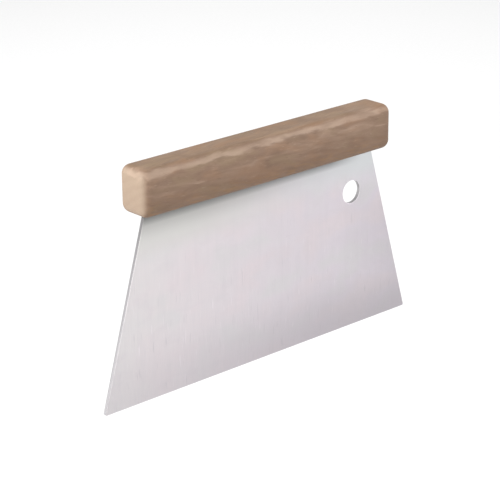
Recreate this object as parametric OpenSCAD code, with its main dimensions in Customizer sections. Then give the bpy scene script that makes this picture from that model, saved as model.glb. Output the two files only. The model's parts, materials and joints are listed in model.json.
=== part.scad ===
// Bench scraper: a stainless steel blade bonded into a one-piece wooden handle.
// The origin is the middle of the working edge, on the blade's mid-plane.
// X runs along the edge, Y through the sheet and Z up towards the handle.

/* [Blade] */
// Width of the blade along its working edge
edge_w = 150; // [130:1:200]
// Width of the blade where it enters the handle
neck_w = 110; // [100:1:112]
// Height of the blade between its working edge and the handle
blade_h = 70; // [65:1:110]
// Thickness of the steel sheet
sheet_t = 1.5; // [1:0.1:2.5]
// Radius that eases the two corners of the working edge
corner_r = 0.5; // [0.2:0.1:4]
// Height of the tang, the part of the blade inside the handle
tang_h = 12; // [8:0.5:13]

/* [Hanging hole] */
// Diameter of the hole
hole_d = 9; // [5:0.5:12]
// Distance of the hole's centre from the middle of the blade
hole_x = 45; // [0:1:45]
// Height of the hole's centre above the working edge
hole_z = 54.5; // [20:0.5:55]

/* [Handle] */
// Length of the handle
handle_l = 120; // [120:1:180]
// Depth of the handle, from front to back
handle_d = 14.5; // [13:0.5:25]
// Height of the handle
handle_h = 17.5; // [16:0.5:30]
// Radius of the handle's rounded edges and corners
round_r = 3.5; // [1:0.1:5]

/* [Bond] */
// Thickness of the adhesive on each side of the tang
bond_t = 0.2; // [0.1:0.05:0.5]
// Diameter of the holes in the tang that the adhesive runs through
key_d = 5; // [3:0.5:6]
// Number of those holes
key_count = 3; // [1:1:5]
// Distance from one of those holes to the next
key_pitch = 20; // [8:1:20]

/* [Hidden] */
// Each side of the blade leans in by this angle, from one corner to the tang's top
lean = atan((edge_w - neck_w) / 2 / blade_h);
tang_top_w = neck_w - 2 * tang_h * tan(lean);
// Where each corner's arc begins, measured along the edge and along the side
corner_run = corner_r / tan((90 - lean) / 2);
tang_top_z = blade_h + tang_h;
key_z = blade_h + tang_h / 2;

// The slot that the tang stands in, open at the handle's underside only
slot_l = neck_w + 2 * bond_t;
slot_w = sheet_t + 2 * bond_t;
slot_h = tang_h + bond_t;

// Inner box that the rounded edges and corners are centred on
core_l = handle_l - 2 * round_r;
core_d = handle_d - 2 * round_r;
core_h = handle_h - 2 * round_r;

overcut = 1;
smooth = 96;

// A hole of diameter d straight through the sheet
module sheet_hole(d, x, z) {
    translate([x, 0, z])
        rotate([90, 0, 0])
            cylinder(d = d, h = sheet_t + 2 * overcut, center = true, $fn = smooth);
}

// A box with its eight corners and twelve edges rounded, centred on the origin
module rounded_bar() {
    cube([handle_l, core_d, core_h], center = true);
    cube([core_l, handle_d, core_h], center = true);
    cube([core_l, core_d, handle_h], center = true);
    for (y = [-1, 1], z = [-1, 1])
        translate([0, y * core_d / 2, z * core_h / 2])
            rotate([0, 90, 0])
                cylinder(r = round_r, h = core_l, center = true, $fn = smooth);
    for (x = [-1, 1], z = [-1, 1])
        translate([x * core_l / 2, 0, z * core_h / 2])
            rotate([90, 0, 0])
                cylinder(r = round_r, h = core_d, center = true, $fn = smooth);
    for (x = [-1, 1], y = [-1, 1])
        translate([x * core_l / 2, y * core_d / 2, 0])
            cylinder(r = round_r, h = core_h, center = true, $fn = smooth);
    for (x = [-1, 1], y = [-1, 1], z = [-1, 1])
        translate([x * core_l / 2, y * core_d / 2, z * core_h / 2])
            sphere(r = round_r, $fn = smooth);
}

// The slot's space, which starts drop below the handle's underside
module slot_space(drop) {
    translate([-slot_l / 2, -slot_w / 2, blade_h - drop])
        cube([slot_l, slot_w, slot_h + drop]);
}

// Outline of the sheet: a trapezoid up to the tang's top, with its lower corners eased
module sheet_outline() {
    edge_end = edge_w / 2 - corner_run;
    side_end = [edge_w / 2 - corner_run * sin(lean), corner_run * cos(lean)];
    polygon([
        [-edge_end, 0],
        [edge_end, 0],
        side_end,
        [tang_top_w / 2, tang_top_z],
        [-tang_top_w / 2, tang_top_z],
        [-side_end[0], side_end[1]]
    ]);
    for (x = [-1, 1])
        translate([x * edge_end, corner_r])
            circle(r = corner_r, $fn = smooth);
}

module sheet_blank() {
    rotate([90, 0, 0])
        linear_extrude(height = sheet_t, center = true)
            sheet_outline();
}

module handle() {
    color("#a58768")
        difference() {
            translate([0, 0, blade_h + handle_h / 2]) rounded_bar();
            slot_space(overcut);
        }
}

module blade() {
    color("#d5d3d6")
        difference() {
            sheet_blank();
            sheet_hole(hole_d, hole_x, hole_z);
            for (i = [0 : key_count - 1])
                sheet_hole(key_d, (i - (key_count - 1) / 2) * key_pitch, key_z);
        }
}

module adhesive() {
    color("#d8b46a")
        difference() {
            slot_space(0);
            blade();
        }
}

handle();
blade();
adhesive();
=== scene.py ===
import json
import math

import bmesh
import bpy
from mathutils import Matrix, Vector, noise
from mathutils.geometry import tessellate_polygon


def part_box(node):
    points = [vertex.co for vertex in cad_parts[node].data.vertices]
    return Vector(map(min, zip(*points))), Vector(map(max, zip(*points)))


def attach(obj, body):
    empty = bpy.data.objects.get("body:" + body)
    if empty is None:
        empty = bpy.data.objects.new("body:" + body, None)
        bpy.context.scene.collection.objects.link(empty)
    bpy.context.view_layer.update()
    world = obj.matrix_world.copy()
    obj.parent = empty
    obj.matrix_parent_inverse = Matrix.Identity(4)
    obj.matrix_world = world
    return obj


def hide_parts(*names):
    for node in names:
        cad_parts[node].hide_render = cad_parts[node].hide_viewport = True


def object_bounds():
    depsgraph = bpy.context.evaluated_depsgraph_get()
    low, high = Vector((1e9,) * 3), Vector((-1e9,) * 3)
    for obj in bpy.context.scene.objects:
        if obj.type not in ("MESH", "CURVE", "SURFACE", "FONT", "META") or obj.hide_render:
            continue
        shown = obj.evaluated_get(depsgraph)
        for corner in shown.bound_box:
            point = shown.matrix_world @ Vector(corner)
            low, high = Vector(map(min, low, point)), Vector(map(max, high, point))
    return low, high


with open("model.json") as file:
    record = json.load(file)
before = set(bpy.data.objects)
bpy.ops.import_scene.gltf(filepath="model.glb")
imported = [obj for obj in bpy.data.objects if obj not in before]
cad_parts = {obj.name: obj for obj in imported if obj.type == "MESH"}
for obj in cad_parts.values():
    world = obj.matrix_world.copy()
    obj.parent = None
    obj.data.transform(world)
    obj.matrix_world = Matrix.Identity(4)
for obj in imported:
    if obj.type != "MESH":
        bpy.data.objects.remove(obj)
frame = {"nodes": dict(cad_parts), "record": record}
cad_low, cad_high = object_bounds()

MM = 0.001

# The handle: the rounding of its edges and corners, and the grid that it is built on
HANDLE_ROUND = 3.5 * MM
ARC_STEPS = 6
GRID_STEP = 2.0 * MM
FLAT_TOLERANCE = 0.01 * MM

# How deep the sanding goes, how many soft hollows it has to a metre, and how far from the slot
# it has faded in
SANDING_DEPTH = 0.06 * MM
SANDING_SCALE = 55.0
SANDING_MARGIN = 1.5 * MM

# The blade. Its width at the edge is measured between the sharp corners, before they are eased
EDGE_WIDTH = 150 * MM
NECK_WIDTH = 110 * MM
CORNER_ROUND = 0.5 * MM
CORNER_STEPS = 8
DEBURR = 0.12 * MM
DEBURR_STEPS = 3
HOLE_STEPS = 96

# Holes in the tang that the adhesive runs through
KEY_DIAMETER = 5 * MM
KEY_PITCH = 20 * MM
KEY_COUNT = 3

# Camera: its direction from its target and its roll in degrees, its distance in metres,
# and its lens and sensor in mm
CAMERA_AZIMUTH = -41.99
CAMERA_ELEVATION = 20.68
CAMERA_ROLL = -0.48
CAMERA_DISTANCE = 0.6963
CAMERA_TARGET = Vector((-6.02 * MM, 0.0, 43.97 * MM))
CAMERA_LENS = 138.0
SENSOR_WIDTH = 36.0

# Floor: how far it is below the object, and its side, in metres
FLOOR_DROP = 0.30
FLOOR_SIZE = 60.0

# Soft light from all round, and square panels that face the middle of the object
# Each panel: name, azimuth and elevation in degrees, distance and side in metres, power in watts
WORLD_STRENGTH = 0.65
AIM = Vector((0.0, 0.0, 50 * MM))
PANELS = (
    ("left_panel", -104.0, 18.0, 1.2, 1.1, 22.0),
    ("upper_left_panel", -40.0, 40.0, 0.50, 0.5, 0.80),
    ("upper_right_panel", 45.0, 27.0, 0.35, 0.3, 0.65),
    ("front_panel", -6.0, 0.0, 0.35, 0.3, 0.26),
)

# The panel that lights the floor behind the object, from straight above it
BACKGROUND_PLACE = Vector((0.90, 1.00, 0.30))
BACKGROUND_SIDE = 1.7
BACKGROUND_POWER = 4.6

# Colours, all linear. The steel: its drift from left to right, its patches and brush marks,
# its tones beside the handle, with painted shade and reflection of the handle below its left half,
# painted shade towards the bottom and the right, painted shadows under the handle, and its sheared
# edges
STEEL = {
    "left": (0.762, 0.715, 0.722),
    "right": (0.742, 0.690, 0.746),
    "pink": (0.770, 0.695, 0.722),
    "neutral": (0.718, 0.702, 0.712),
    "left_end": (0.735, 0.712, 0.716),
    "cloud": (0.665, 0.620, 0.650),
    "band": (0.645, 0.605, 0.640),
    "hair": (0.67, 0.635, 0.665),
    "dull_mark": (0.60, 0.565, 0.595),
    "bright_mark": (0.86, 0.81, 0.845),
    "handle_shade_left": (0.676, 0.665, 0.650),
    "far_handle": (0.722, 0.738, 0.750),
    "low_right_shade": (0.50, 0.467, 0.495),
    "handle_shadow": (0.26, 0.26, 0.25),
    "crease_shadow": (0.15, 0.15, 0.145),
    "cut": (0.45, 0.44, 0.45),
    "dark_cut": (0.39, 0.385, 0.39),
}

# The wood: its streaks, its patches, rings, fibres and flecks, a painted tint on its top for how
# the light falls there, painted shade towards its underside, its end grain with painted shade
# towards the bottom, and a painted highlight along its upper roundings
WOOD = {
    "dark_streak": (0.185, 0.116, 0.079),
    "streak": (0.228, 0.148, 0.102),
    "light_streak": (0.275, 0.186, 0.133),
    "pale": (0.281, 0.193, 0.142),
    "brown": (0.185, 0.119, 0.081),
    "olive": (0.229, 0.161, 0.099),
    "orange": (0.273, 0.159, 0.095),
    "ring": (0.176, 0.112, 0.077),
    "fibre": (0.165, 0.105, 0.072),
    "dark_fleck": (0.127, 0.076, 0.051),
    "light_fleck": (0.352, 0.258, 0.186),
    "top_light_tint": (1.0, 0.985, 0.905),
    "underside_shade": (0.105, 0.062, 0.040),
    "stain": (0.205, 0.115, 0.055),
    "light_end": (0.284, 0.213, 0.154),
    "dark_end": (0.272, 0.201, 0.145),
    "end_shade_below": (0.180, 0.125, 0.095),
    "pore": (0.180, 0.125, 0.083),
    "edge_highlight": (0.395, 0.290, 0.218),
}

EPOXY = {"dark": (0.42, 0.27, 0.09), "light": (0.60, 0.42, 0.17), "speck": (0.78, 0.66, 0.42)}
PAPER = {"dark": (0.91, 0.91, 0.91), "light": (0.93, 0.93, 0.93)}

ORIGIN = (0.0, 0.0, 0.0)


# ---------------------------------------------------------------- meshes

def new_piece(name, bm, material):
    """Turns a bmesh into an object that rides on the one body."""
    mesh = bpy.data.meshes.new(name)
    bm.to_mesh(mesh)
    bm.free()
    mesh.materials.append(material)
    piece = bpy.data.objects.new(name, mesh)
    bpy.context.scene.collection.objects.link(piece)
    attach(piece, "root")
    return piece


def axis_stops(half, round_r, step, extra=()):
    """Places along a side of a rounded box: even steps on the flat, even angles on the rounding."""
    core = half - round_r
    arc = [round_r * math.tan(math.radians(45) * i / ARC_STEPS) for i in range(1, ARC_STEPS + 1)]
    marks = sorted({-core, core, *extra})
    flat = []
    for low, high in zip(marks, marks[1:]):
        count = max(1, round((high - low) / step))
        flat += [low + (high - low) * i / count for i in range(count)]
    flat.append(core)
    return [-core - a for a in reversed(arc)] + flat + [core + a for a in arc]


def build_handle(material):
    """The rounded wooden bar, with the blind slot that the tang and its adhesive fill."""
    low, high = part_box("handle")
    slot_low, slot_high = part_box("adhesive")
    centre = (low + high) / 2
    half = (high - low) / 2
    core = half - Vector((HANDLE_ROUND,) * 3)
    stops = [
        axis_stops(half.x, HANDLE_ROUND, GRID_STEP, (slot_low.x, slot_high.x)),
        axis_stops(half.y, HANDLE_ROUND, GRID_STEP, (slot_low.y, slot_high.y)),
        axis_stops(half.z, HANDLE_ROUND, GRID_STEP),
    ]
    bm = bmesh.new()
    known = {}

    def corner(point):
        """The vertex that a point on the sharp box rounds to. Faces that meet share it."""
        key = tuple(round(c / MM, 4) for c in point)
        if key not in known:
            inner = Vector([max(-c, min(c, p)) for p, c in zip(point, core)])
            known[key] = bm.verts.new(centre + inner + (point - inner).normalized() * HANDLE_ROUND)
        return known[key]

    for axis in range(3):
        u, v = (axis + 1) % 3, (axis + 2) % 3
        for side in (-1, 1):
            for u0, u1 in zip(stops[u], stops[u][1:]):
                for v0, v1 in zip(stops[v], stops[v][1:]):
                    ring = []
                    for a, b in ((u0, v0), (u1, v0), (u1, v1), (u0, v1)):
                        point = Vector((0, 0, 0))
                        point[axis], point[u], point[v] = side * half[axis], a, b
                        ring.append(corner(point))
                    bm.faces.new(ring if side > 0 else ring[::-1])

    sand(bm, slot_low, slot_high)
    cut_slot(bm, slot_low, slot_high, low.z)
    put_in_order(bm)
    for face in bm.faces:
        face.smooth = True
    return new_piece("handle_bar", bm, material)


def sand(bm, slot_low, slot_high):
    """Hand sanding takes a little more off in some places. It never reaches the slot's mouth."""
    bm.normal_update()
    for vert in bm.verts:
        x, y, z = vert.co
        outside = max(slot_low.x - x, x - slot_high.x, slot_low.y - y, y - slot_high.y)
        underneath = z <= slot_low.z + HANDLE_ROUND
        clear = min(1.0, max(0.0, outside / SANDING_MARGIN)) if underneath else 1.0
        depth = 0.5 + 0.5 * noise.noise(vert.co * SANDING_SCALE)
        vert.co -= vert.normal * SANDING_DEPTH * depth * clear


def cut_slot(bm, slot_low, slot_high, underside_z):
    """Pushes the faces at the slot's mouth up to its top, and drops any left across the mouth."""
    middle = (slot_low + slot_high) / 2
    reach = (slot_high - slot_low) / 2
    mouth = []
    for face in bm.faces:
        c = face.calc_center_median()
        inside = abs(c.x - middle.x) < reach.x and abs(c.y - middle.y) < reach.y
        if inside and abs(c.z - underside_z) < FLAT_TOLERANCE:
            mouth.append(face)
    pushed = bmesh.ops.extrude_face_region(bm, geom=mouth)["geom"]
    for vert in (g for g in pushed if isinstance(g, bmesh.types.BMVert)):
        vert.co.z = slot_high.z
    stale = [f for f in mouth if f.is_valid]
    bmesh.ops.delete(bm, geom=stale, context="FACES")


def put_in_order(bm):
    """Sorts edges and faces by their vertices. An extrusion leaves them in any order."""
    bm.verts.index_update()
    for parts in (bm.edges, bm.faces):
        by_vertices = sorted(parts, key=lambda part: sorted(v.index for v in part.verts))
        places = {part: place for place, part in enumerate(by_vertices)}
        parts.sort(key=places.get)


def blade_outline(inset, lean, top):
    """The sheet's outline in X and Z, anticlockwise from the front, moved in by inset."""
    run = CORNER_ROUND / math.tan((math.pi / 2 - lean) / 2)
    reach = CORNER_ROUND - inset
    right = []
    for i in range(CORNER_STEPS + 1):
        angle = -math.pi / 2 + (math.pi / 2 + lean) * i / CORNER_STEPS
        x = EDGE_WIDTH / 2 - run + reach * math.cos(angle)
        right.append((x, CORNER_ROUND + reach * math.sin(angle)))
    tang_z = top - inset
    right.append((EDGE_WIDTH / 2 - tang_z * math.tan(lean) - inset / math.cos(lean), tang_z))
    return right + [(-x, z) for x, z in reversed(right)]


def circle(centre, radius):
    """A hole's outline in X and Z."""
    turns = [math.tau * i / HOLE_STEPS for i in range(HOLE_STEPS)]
    return [(centre[0] + radius * math.cos(t), centre[1] + radius * math.sin(t)) for t in turns]


def hang_hole():
    """Centre and radius of the hanging hole, from its mount."""
    mount = next(m for m in frame["record"]["mounts"] if m["name"] == "hang_hole")
    x, _, z = mount["pos_m"]
    return (x, z), mount["dims"]["r_mm"] * MM


def key_holes():
    """Centres and radii of the tang's holes, which are half way up the tang."""
    height = (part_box("handle")[0].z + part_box("blade")[1].z) / 2
    places = [(i - (KEY_COUNT - 1) / 2) * KEY_PITCH for i in range(KEY_COUNT)]
    return [((x, height), KEY_DIAMETER / 2) for x in places]


def build_blade(material, holes):
    """The steel sheet: blade, tang and holes, with every edge deburred."""
    low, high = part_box("blade")
    neck_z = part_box("handle")[0].z
    lean = math.atan((EDGE_WIDTH - NECK_WIDTH) / 2 / neck_z)
    turns = [math.pi / 2 * i / DEBURR_STEPS for i in range(DEBURR_STEPS + 1)]
    levels = [(low.y + DEBURR * (1 - math.cos(t)), DEBURR * (1 - math.sin(t))) for t in turns]
    levels += [(-y, inset) for y, inset in reversed(levels)]
    bm = bmesh.new()
    rings = []
    for y, inset in levels:
        loops = [blade_outline(inset, lean, high.z)]
        loops += [circle(centre, radius + inset) for centre, radius in holes]
        rings.append([[bm.verts.new((x, y, z)) for x, z in loop] for loop in loops])
    for front, back in zip(rings, rings[1:]):
        for number, (a, b) in enumerate(zip(front, back)):
            is_outline = number == 0
            for i in range(len(a)):
                j = (i + 1) % len(a)
                quad = [a[i], b[i], b[j], a[j]] if is_outline else [a[i], a[j], b[j], b[i]]
                bm.faces.new(quad).smooth = True
    for ring in (rings[0], rings[-1]):
        flat = [v for loop in ring for v in loop]
        for tri in tessellate_polygon([[v.co for v in loop] for loop in ring]):
            bm.faces.new([flat[i] for i in tri])
    bmesh.ops.recalc_face_normals(bm, faces=bm.faces)
    brushing = bm.loops.layers.uv.new("brushing")
    for face in bm.faces:
        for loop in face.loops:
            loop[brushing].uv = (loop.vert.co.x, loop.vert.co.z)
    return new_piece("blade_sheet", bm, material)


# ---------------------------------------------------------------- materials

class Nodes:
    """A short way to build a material's node tree. Patterns lie in the object's own space."""

    def __init__(self, name):
        self.material = bpy.data.materials.new(name)
        self.material.use_nodes = True
        self.tree = self.material.node_tree
        self.shader = self.tree.nodes["Principled BSDF"]
        self.place = self.add("ShaderNodeTexCoord")

    def add(self, kind, settings=None, **inputs):
        node = self.tree.nodes.new(kind)
        for key, value in (settings or {}).items():
            setattr(node, key, value)
        for key, value in inputs.items():
            self.put(node, key.replace("_", " "), value)
        return node

    def put(self, node, socket, value):
        target = node.inputs[socket]
        if isinstance(value, bpy.types.NodeSocket):
            self.tree.links.new(value, target)
        else:
            target.default_value = value

    def set(self, **values):
        """Sets or links the shader's own sockets."""
        for key, value in values.items():
            self.put(self.shader, key.replace("_", " "), value)

    def math(self, operation, first, second=0.0):
        node = self.add("ShaderNodeMath", {"operation": operation})
        self.put(node, 0, first)
        self.put(node, 1, second)
        return node.outputs[0]

    def times(self, first, second):
        return self.math("MULTIPLY", first, second)

    def span(self, value, low, high, to_low=0.0, to_high=1.0, smooth=False):
        """Takes value from low..high to to_low..to_high, held at the ends."""
        kind = {"interpolation_type": "SMOOTHSTEP"} if smooth else {}
        node = self.add("ShaderNodeMapRange", kind, Value=value, From_Min=low, From_Max=high)
        self.put(node, "To Min", to_low)
        self.put(node, "To Max", to_high)
        return node.outputs["Result"]

    def cells(self, size, turn=ORIGIN, shift=ORIGIN):
        """The object's space divided into cells of this size along X, Y and Z."""
        node = self.add("ShaderNodeMapping", {"vector_type": "TEXTURE"})
        self.put(node, "Vector", self.place.outputs["Object"])
        self.put(node, "Location", shift)
        self.put(node, "Rotation", turn)
        self.put(node, "Scale", size)
        return node.outputs["Vector"]

    def noise(self, size, turn=ORIGIN, detail=2.0, bend=0.0, shift=ORIGIN):
        """Soft noise whose blobs measure about size."""
        node = self.add("ShaderNodeTexNoise", Vector=self.cells(size, turn, shift), Scale=1.0)
        self.put(node, "Detail", detail)
        self.put(node, "Distortion", bend)
        return node.outputs["Fac"]

    def ramp(self, value, *stops):
        """A colour that changes along the given (place, colour) stops."""
        node = self.add("ShaderNodeValToRGB", Fac=value)
        marks = node.color_ramp.elements
        while len(marks) < len(stops):
            marks.new(0.5)
        for mark, (place, colour) in zip(marks, stops):
            mark.position = place
            mark.color = (*colour, 1)
        return node.outputs["Color"]

    def mix(self, share, first, second, blend="MIX"):
        node = self.add("ShaderNodeMixRGB", {"blend_type": blend}, Fac=share)
        for socket, colour in (("Color1", first), ("Color2", second)):
            self.put(node, socket, (*colour, 1) if isinstance(colour, tuple) else colour)
        return node.outputs["Color"]

    def coats(self, colour, *coats):
        """Lays each (share, colour) coat over the ones before it."""
        for share, coat in coats:
            colour = self.mix(share, colour, coat)
        return colour

    def bump(self, height, depth, strength):
        node = self.add("ShaderNodeBump", Height=height, Distance=depth, Strength=strength)
        return node.outputs["Normal"]

    def axis(self, output, name):
        """One part of a texture coordinate, such as the X of the normal."""
        node = self.add("ShaderNodeSeparateXYZ", Vector=self.place.outputs[output])
        return node.outputs[name]


def steel():
    """Stainless sheet, brushed upright, with dull sheared edges; shade and the handle's shadow are
    painted on.
    """
    n = Nodes("brushed_steel")
    # The patterns run so far through the sheet that both faces show the same ones
    through = 1.0
    clouds = n.noise((13 * MM, through, 8 * MM), detail=3.0, bend=0.3)
    hues = n.noise((24 * MM, through, 15 * MM), detail=2.0, shift=(9 * MM, 0, 5 * MM))
    broad = n.noise((2.6 * MM, through, 28 * MM), detail=3.0, bend=0.2)
    hairs = n.noise((0.35 * MM, through, 7 * MM), detail=2.0)
    marks = n.noise((1.1 * MM, through, 8 * MM), detail=1.0, shift=(3 * MM, 0, 7 * MM))
    across, height = n.axis("Object", "X"), n.axis("Object", "Z")

    def zone(z_none, z_full, x_none, x_full, most=1.0, smooth=True):
        """How much of a patch shows: none at z_none up the sheet or x_none along it, in mm."""
        upright = n.span(height, z_none * MM, z_full * MM, smooth=smooth)
        return n.times(upright, n.span(across, x_none * MM, x_full * MM, 0.0, most))

    low_down = n.span(height, 5 * MM, 55 * MM, 1.0, 0.15)
    sparse = n.times(low_down, n.span(hues, 0.35, 0.6, 0.35, 1.0))
    # Painted shade: the sheet darker towards the bottom and the right, and along its right side up
    # to about 56 mm
    low_right_shade = n.math("MAXIMUM", zone(28, -1, -140, 30), zone(56, 42, 40, 72, most=0.45))
    sheared = n.span(n.math("ABSOLUTE", n.axis("Normal", "Y")), 0.75, 0.35)
    finish = n.coats(
        n.mix(n.span(across, -75 * MM, 60 * MM), STEEL["left"], STEEL["right"]),
        (n.span(hues, 0.50, 0.62, 0.0, 0.7), STEEL["pink"]),
        (n.span(hues, 0.48, 0.36, 0.0, 0.7), STEEL["neutral"]),
        (n.span(across, -42 * MM, -66 * MM, 0.0, 0.7), STEEL["left_end"]),
        (n.span(clouds, 0.52, 0.72, 0.0, 0.30), STEEL["cloud"]),
        (n.span(broad, 0.45, 0.70, 0.0, 0.16), STEEL["band"]),
        (n.times(n.span(hairs, 0.40, 0.80, 0.0, 0.5), low_down), STEEL["hair"]),
        (n.times(n.span(marks, 0.66, 0.76), sparse), STEEL["dull_mark"]),
        (n.times(n.span(marks, 0.34, 0.24), sparse), STEEL["bright_mark"]),
        # Painted shade and reflection of the handle: darker and greener below the handle's left
        # half
        (zone(51, 61, 25, -35), STEEL["handle_shade_left"]),
        (zone(54, 66, -5, 45), STEEL["far_handle"]),
        # Painted shade towards the bottom and the right
        (n.times(low_right_shade, 0.75), STEEL["low_right_shade"]),
        # Painted shadow of the handle, strongest at the left and fading to the right, then a darker
        # painted shadow in the corner right under the handle
        (n.times(zone(59, 69, 55, -25), 0.55), STEEL["handle_shadow"]),
        (zone(65.5, 69.5, 50, 34, smooth=False), STEEL["crease_shadow"]),
        (sheared, n.mix(n.span(height, 50 * MM, 64 * MM), STEEL["cut"], STEEL["dark_cut"])),
    )

    rough = n.math("MAXIMUM", n.span(clouds, 0.3, 0.7, 0.46, 0.54), n.times(sheared, 0.9))
    tangent = n.add("ShaderNodeTangent", {"direction_type": "UV_MAP", "uv_map": "brushing"})
    relief = n.bump(n.math("ADD", hairs, marks), 0.01 * MM, 0.2)
    n.set(Base_Color=finish, Metallic=1.0, Roughness=rough, Anisotropic=0.6)
    n.set(Tangent=tangent.outputs[0], Normal=relief)
    return n.material


def wood():
    """Oiled beech: soft streaks and blotches, fibres with a slight run-out, rings and flecks."""
    n = Nodes("handle_wood")
    run_out = (0.0, math.radians(5.0), math.radians(3.0))
    pith = (0.0, -30 * MM, 20 * MM)
    rings = n.add("ShaderNodeTexWave", {"wave_type": "RINGS", "rings_direction": "X"})
    n.put(rings, "Vector", n.cells((60 * MM, 11 * MM, 11 * MM), run_out, pith))
    n.put(rings, "Scale", 1.0)
    n.put(rings, "Distortion", 5.0)
    n.put(rings, "Detail", 3.0)
    n.put(rings, "Detail Scale", 0.8)
    ring = rings.outputs["Fac"]
    fibres = n.noise((8 * MM, 0.5 * MM, 0.5 * MM), run_out, detail=3.0, bend=0.3)
    streaks = n.noise((16 * MM, 3.2 * MM, 3.2 * MM), run_out, detail=4.0, bend=0.9)
    blotches = n.noise(
        (13 * MM, 7 * MM, 5 * MM), run_out, detail=3.0, bend=0.6, shift=(11 * MM, 0, 0)
    )
    hues = n.noise(
        (15 * MM, 9 * MM, 6 * MM), run_out, detail=2.0, bend=0.4, shift=(-7 * MM, 3 * MM, 2 * MM)
    )
    dashes = n.noise((6 * MM, 0.9 * MM, 0.9 * MM), run_out, detail=2.0, bend=0.4)
    flecks = n.noise((3.2 * MM, 0.4 * MM, 0.4 * MM), run_out, detail=1.0)
    pores = n.noise((0.3 * MM, 0.3 * MM, 0.3 * MM), detail=1.0)
    height, upward = n.axis("Object", "Z"), n.axis("Normal", "Z")

    along = n.coats(
        n.ramp(
            streaks,
            (0.34, WOOD["dark_streak"]),
            (0.50, WOOD["streak"]),
            (0.66, WOOD["light_streak"]),
        ),
        (n.span(blotches, 0.52, 0.68, 0.0, 0.45), WOOD["pale"]),
        (n.span(blotches, 0.48, 0.34, 0.0, 0.45), WOOD["brown"]),
        (n.span(hues, 0.53, 0.66, 0.0, 0.50), WOOD["olive"]),
        (n.span(hues, 0.47, 0.34, 0.0, 0.50), WOOD["orange"]),
        (n.span(ring, 0.6, 1.0, 0.0, 0.2), WOOD["ring"]),
        (n.span(fibres, 0.45, 0.75, 0.0, 0.25), WOOD["fibre"]),
        (n.span(flecks, 0.66, 0.76, 0.0, 0.5), WOOD["dark_fleck"]),
        (n.span(flecks, 0.34, 0.24, 0.0, 0.4), WOOD["light_fleck"]),
    )
    # Painted: the top faces tinted warmer and a little darker, standing in for how the light falls
    # on them
    along = n.mix(n.span(upward, 0.80, 1.0), along, WOOD["top_light_tint"], "MULTIPLY")
    stained = n.times(n.span(height, 77 * MM, 71 * MM), n.span(dashes, 0.48, 0.62))
    along = n.coats(
        along,
        # Painted shade: the wood darker towards the underside
        (n.span(height, 86 * MM, 71 * MM, 0.0, 0.60), WOOD["underside_shade"]),
        (n.times(stained, 0.65), WOOD["stain"]),
    )

    end_grain = n.coats(
        n.ramp(ring, (0.2, WOOD["light_end"]), (0.9, WOOD["dark_end"])),
        # Painted shade: the end grain darker towards the bottom
        (n.span(height, 84 * MM, 71 * MM, 0.0, 0.22), WOOD["end_shade_below"]),
        (n.span(pores, 0.60, 0.72, 0.0, 0.3), WOOD["pore"]),
    )
    ends = n.span(n.math("ABSOLUTE", n.axis("Normal", "X")), 0.45, 0.95, smooth=True)
    # Painted highlight: a lighter, wavering band along the upper roundings
    wavering = n.math("ADD", upward, n.span(streaks, 0.3, 0.7, -0.22, 0.22))
    lower_limit = n.span(wavering, 0.10, 0.42, smooth=True)
    upper_limit = n.span(wavering, 0.92, 0.62, smooth=True)
    edge_highlight = n.times(n.times(lower_limit, upper_limit), n.span(blotches, 0.38, 0.58, 0.40, 1.0))
    colour = n.coats(along, (ends, end_grain), (n.times(edge_highlight, 0.60), WOOD["edge_highlight"]))

    rough = n.span(streaks, 0.3, 0.7, 0.52, 0.64)
    relief = n.bump(n.math("ADD", fibres, flecks), 0.05 * MM, 0.35)
    n.set(Base_Color=colour, Roughness=rough, Normal=relief, Specular_IOR_Level=0.25)
    return n.material


def epoxy():
    """The cured resin in the slot, amber and a little uneven."""
    n = Nodes("cured_epoxy")
    cloud = n.noise((3 * MM, 1 * MM, 3 * MM), detail=2.0)
    specks = n.noise((0.25 * MM, 0.25 * MM, 0.25 * MM), detail=1.0)
    colour = n.ramp(cloud, (0.3, EPOXY["dark"]), (0.7, EPOXY["light"]))
    colour = n.mix(n.span(specks, 0.66, 0.76, 0.0, 0.5), colour, EPOXY["speck"])
    rough = n.span(cloud, 0.3, 0.7, 0.22, 0.38)
    n.set(Base_Color=colour, Roughness=rough, Normal=n.bump(cloud, 0.05 * MM, 0.3))
    return n.material


def floor_paint():
    """Pale matt paper."""
    n = Nodes("floor")
    fibre = n.noise((4 * MM, 4 * MM, 4 * MM), detail=3.0)
    colour = n.ramp(fibre, (0.3, PAPER["dark"]), (0.7, PAPER["light"]))
    n.set(Base_Color=colour, Roughness=0.9)
    return n.material


# ---------------------------------------------------------------- stage

def towards(azimuth, elevation):
    """The direction of this azimuth and elevation, in degrees. Azimuth 0 is the front."""
    a, e = math.radians(azimuth), math.radians(elevation)
    return Vector((math.sin(a) * math.cos(e), -math.cos(a) * math.cos(e), math.sin(e)))


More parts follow.
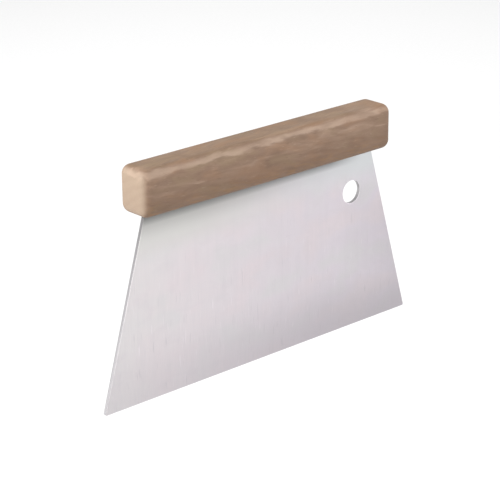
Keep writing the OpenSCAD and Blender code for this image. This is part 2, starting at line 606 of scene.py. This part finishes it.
def add_floor():
    bpy.ops.mesh.primitive_plane_add(size=FLOOR_SIZE, location=(0, 0, cad_low.z - FLOOR_DROP))
    floor = bpy.context.object
    floor.name = "floor"
    floor.data.materials.append(floor_paint())


def add_panel(name, place, target, side, power):
    """A soft box: a square of white light at place, facing target."""
    light = bpy.data.lights.new(name, "AREA")
    light.shape = "SQUARE"
    light.size = side
    light.energy = power
    lamp = bpy.data.objects.new(name, light)
    lamp.location = place
    lamp.rotation_euler = (target - place).to_track_quat("-Z", "Y").to_euler()
    lamp.visible_camera = False
    bpy.context.scene.collection.objects.link(lamp)


def add_world(strength):
    world = bpy.data.worlds.new("studio")
    bpy.context.scene.world = world
    world.use_nodes = True
    background = world.node_tree.nodes["Background"]
    background.inputs["Color"].default_value = (1, 1, 1, 1)
    background.inputs["Strength"].default_value = strength


def add_camera():
    back = towards(CAMERA_AZIMUTH, CAMERA_ELEVATION)
    data = bpy.data.cameras.new("camera")
    data.lens, data.sensor_width = CAMERA_LENS, SENSOR_WIDTH
    camera = bpy.data.objects.new("camera", data)
    upright = (-back).to_track_quat("-Z", "Y").to_matrix()
    held = upright @ Matrix.Rotation(math.radians(CAMERA_ROLL), 3, "Z")
    camera.matrix_world = Matrix.Translation(CAMERA_TARGET + back * CAMERA_DISTANCE) @ held.to_4x4()
    bpy.context.scene.collection.objects.link(camera)
    bpy.context.scene.camera = camera


# ---------------------------------------------------------------- the scraper

handle = build_handle(wood())
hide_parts("handle")
blade = build_blade(steel(), [hang_hole()] + key_holes())
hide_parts("blade")
bond = frame["nodes"]["adhesive"]
bond.data.materials.clear()
bond.data.materials.append(epoxy())

bpy.context.scene.view_settings.view_transform = "Standard"
add_world(WORLD_STRENGTH)
add_floor()
for name, azimuth, elevation, distance, side, power in PANELS:
    add_panel(name, AIM + towards(azimuth, elevation) * distance, AIM, side, power)
below = BACKGROUND_PLACE - Vector((0, 0, 1))
add_panel("background_panel", BACKGROUND_PLACE, below, BACKGROUND_SIDE, BACKGROUND_POWER)
add_camera()
